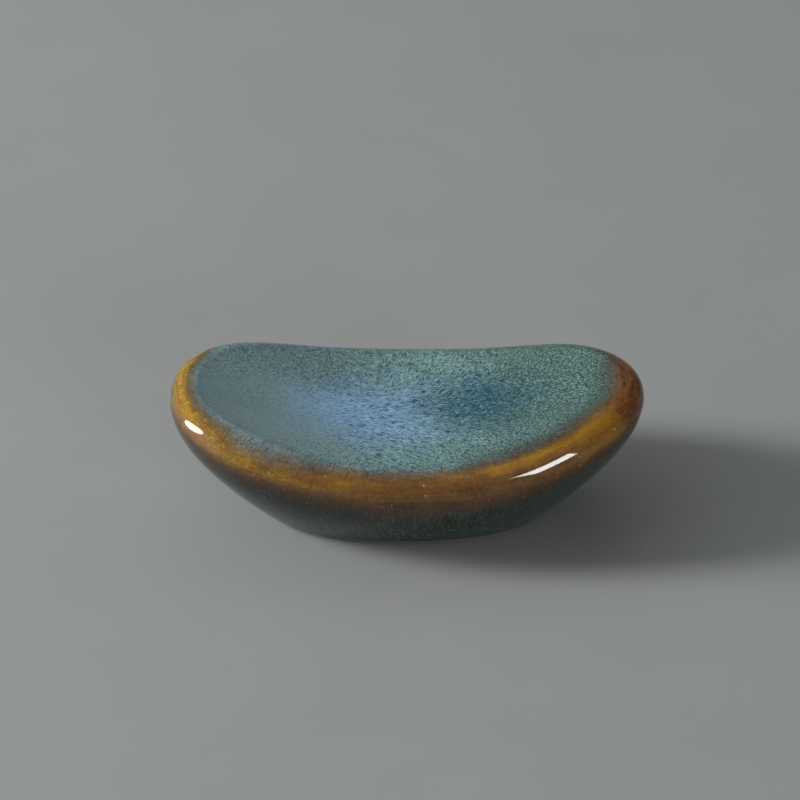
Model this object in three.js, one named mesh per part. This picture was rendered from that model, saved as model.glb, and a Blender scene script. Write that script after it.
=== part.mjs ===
// Chopstick rest: a pillow of stoneware, dished like a saddle, under two coats of glaze.
// Millimetres, +X along the rest, +Y to its back, +Z up, origin under its middle on the table.
import * as THREE from "three";

// Plan outline of the glazed rest: half a superellipse at each end, the left one blunter
const LENGTH = 65;
const WIDTH = 34.8;
const LEFT_OUTLINE_POWER = 2.45; // 2 is a true ellipse, more is squarer
const RIGHT_OUTLINE_POWER = 2.19;

// Saddle: the rim's crest is lowest half way along and climbs to both ends
const MIDDLE_HEIGHT = 15;
const LEFT_END_RISE = 4.7;
const RIGHT_END_RISE = 5.1;
const RISE_POWER = 1.38; // above 1 the climb starts late
const DISH_DEPTH = 1.2; // middle of the dish below the crest half way along

// Rim: a soft crest, a land sloping gently outwards and a tighter shoulder. Tilts are degrees from upward
const CREST_RADIUS = 0.8;
const LAND_TILT = 13;
const LAND_RADIUS = 5;
const SHOULDER_TILT = 38;
const SHOULDER_RADIUS = 2.2;
const RIM_WRAP = 9; // the shoulder ends this far past upright

// Flank: leaves the shoulder past upright and curls in to the glaze line
const FLANK_FULLNESS = 0.39; // share of its drop over which the flank keeps the shoulder's lean
const GLAZE_LINE_LENGTH = 40.6;
const GLAZE_LINE_WIDTH = 22.8;
const GLAZE_LINE_HEIGHT = 0.9;

// Bare foot under the glaze line
const FOOT_STEP = 0.3; // foot wall behind the clay edge at the glaze line
const FOOT_CHAMFER = 0.25;
const FOOT_RING_WIDTH = 3.4;
const RECESS_COVE = 2.2;
const RECESS_DEPTH = 1.8;

// Glaze coats
const BASE_COAT = 0.4; // amber, all over down to the glaze line
const WELL_POOL = 0.9; // blue-green coat where it pools, in the middle of the dish
const WELL_COAT = 0.3; // the same coat at the edge of the dish
const WELL_COAT_TILT = 26; // degrees outside the crest where that coat feathers out
const BAND_DROP = 1.6; // amber left bare on the flank, below the shoulder
const FLANK_COAT = 0.25; // dark green coat on the flank
const FLANK_ROLL = 0.5; // the same coat where it gathers at the glaze line

// Fineness of the skins
const STEPS_ROUND = 48;
const DISH_STEPS = 6;
const WELL_EDGE_STEPS = 3;
const BAND_STEPS = 5;
const BAND_DROP_STEPS = 2;
const FLANK_STEPS = 6;
const COVE_STEPS = 3;

const DISH_FLOOR = MIDDLE_HEIGHT - DISH_DEPTH;
const TILT_OF_WELL_EDGE = THREE.MathUtils.degToRad(WELL_COAT_TILT);
const TILT_OF_RIM_END = THREE.MathUtils.degToRad(90 + RIM_WRAP);
const TILT_OF_LAND = THREE.MathUtils.degToRad(LAND_TILT);
const TILT_OF_SHOULDER = THREE.MathUtils.degToRad(SHOULDER_TILT);
const RIM_ARCS = [
  { from: -Math.PI / 2, to: TILT_OF_LAND, radius: CREST_RADIUS },
  { from: TILT_OF_LAND, to: TILT_OF_SHOULDER, radius: LAND_RADIUS },
  { from: TILT_OF_SHOULDER, to: TILT_OF_RIM_END, radius: SHOULDER_RADIUS },
];
const TURNS = Array.from({ length: STEPS_ROUND }, (_, i) => (2 * Math.PI * i) / STEPS_ROUND);

/** Point of the unit superellipse in the direction of a turn: times the half axes it is the plan outline. */
function outline(turn) {
  const cos = Math.cos(turn);
  const sin = Math.sin(turn);
  const power = cos < 0 ? LEFT_OUTLINE_POWER : RIGHT_OUTLINE_POWER;
  const reach = Math.abs(cos) ** power + Math.abs(sin) ** power;
  const scale = reach ** (-1 / power);
  return new THREE.Vector2(cos * scale, sin * scale);
}

/** Height of the rim's crest at a turn. */
function crestHeight(turn) {
  const plan = outline(turn);
  const rise = plan.x < 0 ? LEFT_END_RISE : RIGHT_END_RISE;
  const along = Math.abs(plan.x) ** RISE_POWER;
  return MIDDLE_HEIGHT + rise * Math.sin((along * Math.PI) / 2) ** 2;
}

/** Point at a turn of the ring with the given half axes and height. */
function ringPoint(turn, halfLength, halfWidth, height) {
  const plan = outline(turn);
  return new THREE.Vector3(halfLength * plan.x, halfWidth * plan.y, height);
}

/** How far out and down from the crest the rim's section has a tilt. */
function rimSection(tilt) {
  const section = { out: 0, drop: 0 };
  for (const { from, to, radius } of RIM_ARCS) {
    const start = THREE.MathUtils.clamp(0, from, to);
    const end = THREE.MathUtils.clamp(tilt, from, to);
    section.out += radius * (Math.sin(end) - Math.sin(start));
    section.drop += radius * (Math.cos(start) - Math.cos(end));
  }
  return section;
}

/** Glazed rim, by its tilt from straight up: 0 at the crest, a right angle at the plan outline. */
function rim(tilt, turn) {
  const { out, drop } = rimSection(tilt);
  const inset = rimSection(Math.PI / 2).out - out;
  return ringPoint(turn, LENGTH / 2 - inset, WIDTH / 2 - inset, crestHeight(turn) - drop);
}

/** Tilt at which the rim's crest meets the slope of the dish. */
function dishTilt(turn) {
  const crest = rim(0, turn);
  const slope = (2 * (crest.z - DISH_FLOOR)) / Math.hypot(crest.x, crest.y);
  return -Math.atan(slope);
}

/** Glazed dish: a parabola from the middle, at share 0, to the rim's crest, at share 1. */
function dish(share, turn) {
  const edge = rim(dishTilt(turn), turn);
  const height = DISH_FLOOR + (edge.z - DISH_FLOOR) * share ** 2;
  return new THREE.Vector3(edge.x * share, edge.y * share, height);
}

/** Drop from the end of the shoulder to the knee of the flank's curve. */
function kneeDrop(turn) {
  return (rim(TILT_OF_RIM_END, turn).z - GLAZE_LINE_HEIGHT) * FLANK_FULLNESS;
}

/** Glazed flank: a curve from the shoulder, at share 0, to the glaze line, at share 1. */
function flank(share, turn) {
  const top = rim(TILT_OF_RIM_END, turn);
  const foot = ringPoint(turn, GLAZE_LINE_LENGTH / 2, GLAZE_LINE_WIDTH / 2, GLAZE_LINE_HEIGHT);
  const drop = kneeDrop(turn);
  const run = drop * Math.tan(TILT_OF_RIM_END - Math.PI / 2);
  const plan = outline(turn);
  const knee = new THREE.Vector3(top.x - run * plan.x, top.y - run * plan.y, top.z - drop);
  return new THREE.QuadraticBezierCurve3(top, knee, foot).getPoint(share);
}

/** Share of the flank at which its dark coat begins, BAND_DROP below the shoulder. */
function flankCoatStart(turn) {
  return BAND_DROP / (2 * kneeDrop(turn));
}

/** Outward normal of one of the glazed surfaces above, from its slopes along and around. */
function normalOf(surface, at, turn) {
  const nudge = 1e-3;
  const along = surface(at + nudge, turn).sub(surface(at - nudge, turn));
  const around = surface(at, turn + nudge).sub(surface(at, turn - nudge));
  return along.cross(around).normalize();
}

// Stations down the skin, from the middle of the dish to the glaze line.
// Each has its surface, its place on it and the thickness of the upper coat there.
function dishStation(step) {
  const share = step / DISH_STEPS;
  const coat = WELL_COAT + (WELL_POOL - WELL_COAT) * (1 - share ** 2) ** 2;
  return { surface: dish, at: () => share, coat };
}

function wellEdgeStation(step) {
  const share = step / WELL_EDGE_STEPS;
  const at = (turn) => THREE.MathUtils.lerp(dishTilt(turn), TILT_OF_WELL_EDGE, share);
  return { surface: rim, at, coat: WELL_COAT * (1 - share) };
}

function bandStation(step) {
  const at = () => THREE.MathUtils.lerp(TILT_OF_WELL_EDGE, TILT_OF_RIM_END, step / BAND_STEPS);
  return { surface: rim, at, coat: 0 };
}

function bandDropStation(step) {
  const at = (turn) => (flankCoatStart(turn) * step) / BAND_DROP_STEPS;
  return { surface: flank, at, coat: 0 };
}

function flankStation(step) {
  const share = step / FLANK_STEPS;
  const at = (turn) => THREE.MathUtils.lerp(flankCoatStart(turn), 1, share);
  const coat = FLANK_COAT * (1 - (1 - share) ** 4) + (FLANK_ROLL - FLANK_COAT) * share ** 4;
  return { surface: flank, at, coat };
}

/** The numbers 1 to count. */
function upTo(count) {
  return Array.from({ length: count }, (_, i) => i + 1);
}

const WELL_STATIONS = [...upTo(DISH_STEPS).map(dishStation), ...upTo(WELL_EDGE_STEPS).map(wellEdgeStation)];
const BAND_STATIONS = [...upTo(BAND_STEPS).map(bandStation), ...upTo(BAND_DROP_STEPS).map(bandDropStation)];
const FLANK_STATIONS = upTo(FLANK_STEPS).map(flankStation);
const STATIONS = [...WELL_STATIONS, ...BAND_STATIONS, ...FLANK_STATIONS];

/** Ring of points at a station, sunk below the glazed surface by a depth. */
function skinRing(station, depth) {
  return TURNS.map((turn) => {
    const at = station.at(turn);
    const inward = normalOf(station.surface, at, turn).multiplyScalar(-depth);
    return station.surface(at, turn).add(inward);
  });
}

/** Rings of a whole skin, from the pole in the middle of the dish down, each sunk by its own depth. */
function skin(depthAt) {
  const pole = new THREE.Vector3(0, 0, DISH_FLOOR - depthAt(dishStation(0)));
  return [[pole], ...STATIONS.map((station) => skinRing(station, depthAt(station)))];
}

/** A ring moved inwards in plan by a distance, square to its outline, and set at a height. */
function insetRing(ring, distance, height) {
  return ring.map((point, i) => {
    const before = ring[(i + ring.length - 1) % ring.length];
    const after = ring[(i + 1) % ring.length];
    const inward = new THREE.Vector2(before.y - after.y, after.x - before.x).setLength(distance);
    return new THREE.Vector3(point.x + inward.x, point.y + inward.y, height);
  });
}

/** Triangles between rings that follow one another downwards. A ring of one point is a pole. */
function sheet(rings, facesOut) {
  const triangles = [];
  const add = (a, b, c) => triangles.push(facesOut ? [a, b, c] : [a, c, b]);
  for (let k = 0; k + 1 < rings.length; k++) {
    const upper = rings[k];
    const lower = rings[k + 1];
    for (let i = 0; i < STEPS_ROUND; i++) {
      const next = (i + 1) % STEPS_ROUND;
      if (lower.length > 1) {
        add(upper[i % upper.length], lower[i], lower[next]);
      }
      if (upper.length > 1) {
        add(upper[i], lower[next % lower.length], upper[next]);
      }
    }
  }
  return triangles;
}

/** Closed mesh made of sheets that share their edge rings. */
function solid(name, material, ...sheets) {
  const corners = sheets.flat(2);
  const geometry = new THREE.BufferGeometry().setFromPoints(corners);
  geometry.computeVertexNormals();
  const mesh = new THREE.Mesh(geometry, new THREE.MeshStandardMaterial(material));
  mesh.name = name;
  return mesh;
}

/** Bare foot below the clay's edge: wall, chamfer, ring on the table and coved recess. */
function footRings(clayEdge) {
  const table = FOOT_STEP + FOOT_CHAMFER;
  const ringInside = table + FOOT_RING_WIDTH;
  const cove = upTo(COVE_STEPS).map((step) => {
    const angle = (step / COVE_STEPS) * (Math.PI / 2);
    const distance = ringInside + RECESS_COVE * (1 - Math.cos(angle));
    return insetRing(clayEdge, distance, RECESS_DEPTH * Math.sin(angle));
  });
  return [
    insetRing(clayEdge, FOOT_STEP, FOOT_CHAMFER),
    insetRing(clayEdge, table, 0),
    insetRing(clayEdge, ringInside, 0),
    ...cove,
    [new THREE.Vector3(0, 0, RECESS_DEPTH)],
  ];
}

const glazed = skin(() => 0);
const amber = skin((station) => station.coat);
const clay = skin((station) => BASE_COAT + station.coat);
const clayEdge = clay.at(-1);
const wellRings = 1 + WELL_STATIONS.length;
const flankStart = wellRings + BAND_STATIONS.length - 1;

const rest = new THREE.Group();
rest.name = "chopstick_rest";

rest.add(
  solid(
    "stoneware_body",
    { color: 0x9c8a74, roughness: 0.85, metalness: 0 },
    sheet([...clay, ...footRings(clayEdge)], true),
  ),
);

rest.add(
  solid(
    "amber_base_glaze",
    { color: 0x8a5f28, roughness: 0.18, metalness: 0 },
    sheet(amber, true),
    sheet([amber.at(-1), clayEdge], true),
    sheet(clay, false),
  ),
);

rest.add(
  solid(
    "well_overglaze",
    { color: 0x5f8088, roughness: 0.2, metalness: 0 },
    sheet(glazed.slice(0, wellRings), true),
    sheet(amber.slice(0, wellRings), false),
  ),
);

rest.add(
  solid(
    "flank_overglaze",
    { color: 0x36423d, roughness: 0.2, metalness: 0 },
    sheet(glazed.slice(flankStart), true),
    sheet([glazed.at(-1), amber.at(-1)], true),
    sheet(amber.slice(flankStart), false),
  ),
);

export default rest;
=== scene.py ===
"""Chopstick rest of glazed stoneware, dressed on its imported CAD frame.

One rule, in Geometry Nodes, gives the skin of the rest from the middle of its dish to its foot.
Each coat of glaze is a thin shell between two depths under that skin, and the clay is what is left.
Lengths are in metres, and the finishes work in millimetres.
"""

import logging
import math
from dataclasses import dataclass, field, fields
from enum import Enum
from typing import Dict, List, Optional, Sequence, Tuple, Union

import bpy
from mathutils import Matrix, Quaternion, Vector


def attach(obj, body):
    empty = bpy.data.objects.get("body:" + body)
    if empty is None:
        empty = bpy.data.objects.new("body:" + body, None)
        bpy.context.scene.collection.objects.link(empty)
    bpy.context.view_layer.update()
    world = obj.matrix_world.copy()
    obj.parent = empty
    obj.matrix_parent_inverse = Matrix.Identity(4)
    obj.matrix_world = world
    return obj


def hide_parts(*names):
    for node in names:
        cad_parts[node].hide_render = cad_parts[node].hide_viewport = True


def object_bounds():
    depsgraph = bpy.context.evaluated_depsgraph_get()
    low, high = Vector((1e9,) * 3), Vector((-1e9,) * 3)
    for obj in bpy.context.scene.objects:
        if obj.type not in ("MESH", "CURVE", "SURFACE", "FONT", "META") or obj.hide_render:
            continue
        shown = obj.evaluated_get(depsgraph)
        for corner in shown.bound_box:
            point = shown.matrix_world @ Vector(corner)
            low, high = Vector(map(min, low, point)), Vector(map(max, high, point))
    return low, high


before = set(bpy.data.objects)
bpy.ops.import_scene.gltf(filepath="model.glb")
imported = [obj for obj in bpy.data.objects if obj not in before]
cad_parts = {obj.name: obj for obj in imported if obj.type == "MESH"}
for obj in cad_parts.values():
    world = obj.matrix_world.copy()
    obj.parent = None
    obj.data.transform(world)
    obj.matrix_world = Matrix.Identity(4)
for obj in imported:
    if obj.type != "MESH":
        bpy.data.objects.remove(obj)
CAD_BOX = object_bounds()
MM = 0.001
PER_MM = 1 / MM
NOISE_MEAN = 0.5
LOG = logging.getLogger("chopstick_rest")

Colour = Tuple[float, float, float, float]
Operand = Union["Field", float]
Span = Tuple[float, float]
Band = Tuple[Span, Span]
Points = Tuple[Tuple[float, float], ...]


def srgb(code: str) -> Colour:
    """Turns a colour as a screen shows it into Blender's linear light.

    Args:
        code: Six hexadecimal digits, red, green and blue.

    Returns:
        The linear colour, with an alpha of 1.
    """
    parts = [int(code[i : i + 2], 16) / 255 for i in (0, 2, 4)]
    linear = [p / 12.92 if p <= 0.04045 else ((p + 0.055) / 1.055) ** 2.4 for p in parts]
    return (linear[0], linear[1], linear[2], 1.0)


class Field:
    """A value in a node tree. Arithmetic on it adds the nodes that work it out."""

    def __init__(self, tree: "Tree", socket: bpy.types.NodeSocket) -> None:
        """Wraps an output socket of a tree."""
        self.tree = tree
        self.socket = socket

    def __add__(self, other: Operand) -> "Field":
        """Sum."""
        return self.tree.math("ADD", self, other)

    def __radd__(self, other: float) -> "Field":
        """Sum with a plain number in front."""
        return self.tree.math("ADD", other, self)

    def __sub__(self, other: Operand) -> "Field":
        """Difference."""
        return self.tree.math("SUBTRACT", self, other)

    def __rsub__(self, other: float) -> "Field":
        """Difference from a plain number."""
        return self.tree.math("SUBTRACT", other, self)

    def __mul__(self, other: Operand) -> "Field":
        """Product."""
        return self.tree.math("MULTIPLY", self, other)

    def __rmul__(self, other: float) -> "Field":
        """Product with a plain number in front."""
        return self.tree.math("MULTIPLY", other, self)

    def __truediv__(self, other: Operand) -> "Field":
        """Quotient."""
        return self.tree.math("DIVIDE", self, other)

    def __rtruediv__(self, other: float) -> "Field":
        """Quotient of a plain number."""
        return self.tree.math("DIVIDE", other, self)

    def __pow__(self, other: Operand) -> "Field":
        """Power."""
        return self.tree.math("POWER", self, other)

    def __neg__(self) -> "Field":
        """The value with its sign turned."""
        return self.tree.math("MULTIPLY", self, -1.0)


class TreeKind(Enum):
    """The two kinds of node tree that the rest is made with."""

    GEOMETRY = "GeometryNodeTree"
    SHADER = "ShaderNodeTree"


class Port(Enum):
    """The kinds of socket on a group's edge."""

    VALUE = "NodeSocketFloat"
    COUNT = "NodeSocketInt"
    VECTOR = "NodeSocketVector"
    COLOUR = "NodeSocketColor"
    GEOMETRY = "NodeSocketGeometry"
    MATERIAL = "NodeSocketMaterial"


class Tree:
    """A node tree that is being written."""

    # Numbers of a Mix node's sockets for colours, whose names it uses more than once
    MIX_A = 6
    MIX_B = 7
    MIX_RESULT = 2

    def __init__(self, tree: bpy.types.NodeTree) -> None:
        """Wraps a tree that may already hold nodes."""
        self.tree = tree
        self.given: Dict[str, Field] = {}

    @classmethod
    def group(cls, name: str, kind: TreeKind, inputs: Dict[str, Port], outputs: Dict[str, Port]) -> "Tree":
        """Starts a node group.

        Args:
            name: The group's name.
            kind: Geometry or shader.
            inputs: The sockets that it takes, by name.
            outputs: The sockets that it gives, by name.

        Returns:
            The tree, with its inputs in given.
        """
        made = cls(bpy.data.node_groups.new(name, kind.value))
        for label, port in inputs.items():
            made.tree.interface.new_socket(label, in_out="INPUT", socket_type=port.value)
        for label, port in outputs.items():
            made.tree.interface.new_socket(label, in_out="OUTPUT", socket_type=port.value)
        source = made.tree.nodes.new("NodeGroupInput")
        made.given = {label: Field(made, source.outputs[label]) for label in inputs}
        return made

    def default(self, label: str, value: float) -> None:
        """Sets the value that an input has where nothing is linked to it.

        Args:
            label: The input's name.
            value: Its value.
        """
        for item in self.tree.interface.items_tree:
            if item.name == label and item.in_out == "INPUT":
                item.default_value = value

    def identifier(self, label: str) -> str:
        """The identifier of a named input, by which a modifier's value is set.

        Args:
            label: The input's name.

        Returns:
            Its identifier.
        """
        for item in self.tree.interface.items_tree:
            if item.name == label and item.in_out == "INPUT":
                return item.identifier
        raise KeyError(label)

    def give(self, results: Dict[str, Field]) -> None:
        """Links the group's results to its output node.

        Args:
            results: The results, by the output's name.
        """
        sink = self.tree.nodes.new("NodeGroupOutput")
        for label, value in results.items():
            self.plug(sink.inputs[label], value)

    def plug(self, socket: bpy.types.NodeSocket, value: object) -> None:
        """Links a field to a socket, or sets a plain value on it.

        Args:
            socket: The socket.
            value: A field or a plain value.
        """
        if isinstance(value, Field):
            self.tree.links.new(value.socket, socket)
        else:
            socket.default_value = value

    def node(
        self,
        kind: str,
        inputs: Optional[Dict[Union[str, int], object]] = None,
        **settings: object,
    ) -> bpy.types.Node:
        """Adds a node.

        Args:
            kind: Blender's name of the node type.
            inputs: Fields or plain values, by the socket's name or number.
            **settings: Properties of the node.

        Returns:
            The new node.
        """
        made = self.tree.nodes.new(kind)
        for label, value in settings.items():
            setattr(made, label, value)
        for key, value in (inputs or {}).items():
            self.plug(made.inputs[key], value)
        return made

    def out(self, node: bpy.types.Node, key: Union[str, int] = 0) -> Field:
        """An output of a node as a field."""
        return Field(self, node.outputs[key])

    def math(self, operation: str, *values: Operand) -> Field:
        """A Math node on one to three values."""
        made = self.node("ShaderNodeMath", dict(enumerate(values)), operation=operation)
        return self.out(made)

    def sin(self, angle: Operand) -> Field:
        """Sine."""
        return self.math("SINE", angle)

    def cos(self, angle: Operand) -> Field:
        """Cosine."""
        return self.math("COSINE", angle)

    def size(self, value: Operand) -> Field:
        """Absolute value."""
        return self.math("ABSOLUTE", value)

    def least(self, a: Operand, b: Operand) -> Field:
        """The lower of two values."""
        return self.math("MINIMUM", a, b)

    def most(self, a: Operand, b: Operand) -> Field:
        """The higher of two values."""
        return self.math("MAXIMUM", a, b)

    def unit(self, value: Operand) -> Field:
        """The value held between 0 and 1."""
        return self.least(self.most(value, 0.0), 1.0)

    def hypot(self, a: Operand, b: Operand) -> Field:
        """Length of a plan vector."""
        return self.math("SQRT", self.math("MULTIPLY", a, a) + self.math("MULTIPLY", b, b))

    def rise(self, value: Operand, start: Operand, end: Operand) -> Field:
        """A smooth step.

        Args:
            value: Where the step is read.
            start: Where it leaves 0.
            end: Where it reaches 1.

        Returns:
            The step's height.
        """
        inputs = {"Value": value, "From Min": start, "From Max": end}
        made = self.node("ShaderNodeMapRange", inputs, interpolation_type="SMOOTHSTEP")
        return self.out(made)

    def band(self, value: Field, up: Span, down: Span) -> Field:
        """A smooth band: it climbs from 0 to 1 over one stretch and falls back over another."""
        return self.rise(value, *up) * (1.0 - self.rise(value, *down))

    def vector(self, x: Operand, y: Operand, z: Operand) -> Field:
        """A vector from its three parts."""
        return self.out(self.node("ShaderNodeCombineXYZ", {0: x, 1: y, 2: z}))

    def parts(self, vector: Field) -> Tuple[Field, Field, Field]:
        """The three parts of a vector."""
        made = self.node("ShaderNodeSeparateXYZ", {0: vector})
        return self.out(made, 0), self.out(made, 1), self.out(made, 2)

    def vmath(self, operation: str, *values: Field) -> Field:
        """A Vector Math node on whole vectors."""
        made = self.node("ShaderNodeVectorMath", dict(enumerate(values)), operation=operation)
        return self.out(made)

    def scaled(self, vector: Field, scale: Operand) -> Field:
        """A vector times a number."""
        made = self.node("ShaderNodeVectorMath", {0: vector, "Scale": scale}, operation="SCALE")
        return self.out(made)

    def noise(self, at: Field, scale: Operand, detail: float = 2.0, roughness: float = 0.5) -> Field:
        """Smooth random values about 0.5 over a vector field.

        Args:
            at: Where the noise is read.
            scale: Features per unit of that field.
            detail: Number of finer layers.
            roughness: Strength of the finer layers.

        Returns:
            The noise.
        """
        inputs = {"Vector": at, "Scale": scale, "Detail": detail, "Roughness": roughness}
        return self.out(self.node("ShaderNodeTexNoise", inputs), "Fac")

    def sway(self, at: Field, scale: Operand, detail: float = 2.0, roughness: float = 0.5) -> Field:
        """The same noise about 0."""
        return self.noise(at, scale, detail, roughness) - NOISE_MEAN

    def place(self) -> Field:
        """Where a point lies on its piece, in metres."""
        return self.out(self.node("ShaderNodeTexCoord"), "Object")

    def place_mm(self) -> Field:
        """Where a point lies on its piece, in millimetres."""
        return self.scaled(self.place(), PER_MM)

    def surface(self, inputs: Dict[str, object]) -> None:
        """Ends a material's tree in a Principled surface with these inputs."""
        made = self.node("ShaderNodeBsdfPrincipled", inputs)
        self.node("ShaderNodeOutputMaterial", {"Surface": self.out(made)})

    def blend(self, share: Operand, a: Union[Field, Colour], b: Union[Field, Colour]) -> Field:
        """A colour between two.

        Args:
            share: How much of the second shows, from 0 to 1.
            a: The first colour.
            b: The second colour.

        Returns:
            The colour.
        """
        made = self.node("ShaderNodeMix", {"Factor": share}, data_type="RGBA")
        self.plug(made.inputs[self.MIX_A], a)
        self.plug(made.inputs[self.MIX_B], b)
        return self.out(made, self.MIX_RESULT)

    def curve(self, value: Field, points: Points) -> Field:
        """A smooth curve through points.

        Args:
            value: Where the curve is read. It keeps its end values outside the points.
            points: Places and heights, in order.

        Returns:
            The height of the curve.
        """
        start, end = points[0][0], points[-1][0]
        low = min(height for _, height in points)
        span = max(height for _, height in points) - low
        made = self.node("ShaderNodeFloatCurve", {"Value": self.unit((value - start) / (end - start))})
        line = made.mapping.curves[0]
        for at, height in points[1:-1]:
            line.points.new((at - start) / (end - start), (height - low) / span)
        line.points[0].location = (0.0, (points[0][1] - low) / span)
        line.points[-1].location = (1.0, (points[-1][1] - low) / span)
        made.mapping.update()
        return self.out(made) * span + low

    def use(self, group: "Tree", inputs: Optional[Dict[str, object]] = None) -> Dict[str, Field]:
        """Places a group as a node.

        Args:
            group: The group.
            inputs: Fields or plain values for its sockets, by name.

        Returns:
            The group's results, by name.
        """
        kind = "GeometryNodeGroup" if group.tree.type == "GEOMETRY" else "ShaderNodeGroup"
        made = self.tree.nodes.new(kind)
        made.node_tree = group.tree
        for label, value in (inputs or {}).items():
            self.plug(made.inputs[label], value)
        return {socket.name: Field(self, socket) for socket in made.outputs}


def label_of(name: str) -> str:
    """The label of a dataclass field on a node group's edge, such as Crest Radius."""
    return name.replace("_", " ").title()


@dataclass(frozen=True)
class RestShape:
    """Sizes of the rest, as the CAD has them but for a softer crest."""

    length: float
    width: float
    right_end_height: float
    left_end_height: float = 19.7 * MM
    middle_height: float = 15 * MM
    left_outline_power: float = 2.45
    right_outline_power: float = 2.19
    rise_power: float = 1.38
    dish_depth: float = 1.2 * MM
    crest_radius: float = 2 * MM
    land_tilt: float = math.radians(13)
    land_radius: float = 5 * MM
    shoulder_tilt: float = math.radians(38)
    shoulder_radius: float = 2.2 * MM
    rim_wrap: float = math.radians(9)
    flank_fullness: float = 0.39
    glaze_line_length: float = 40.6 * MM
    glaze_line_width: float = 22.8 * MM
    glaze_line_height: float = 0.9 * MM
    well_pool: float = 0.9 * MM
    well_coat: float = 0.3 * MM
    well_coat_tilt: float = math.radians(26)
    band_drop: float = 1.6 * MM
    flank_coat: float = 0.25 * MM
    flank_roll: float = 0.5 * MM

    @classmethod
    def from_frame(cls) -> "RestShape":
        """The shape with its length, width and height read from the CAD box."""
        low, high = CAD_BOX
        return cls(length=high.x - low.x, width=high.y - low.y, right_end_height=high.z)


@dataclass(frozen=True)
class FootShape:
    """Sizes of the bare foot under the glaze line."""

    step: float = 0.3 * MM
    chamfer: float = 0.25 * MM
    ring_width: float = 3.4 * MM
    cove: float = 2.2 * MM
    recess: float = 1.8 * MM


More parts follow.
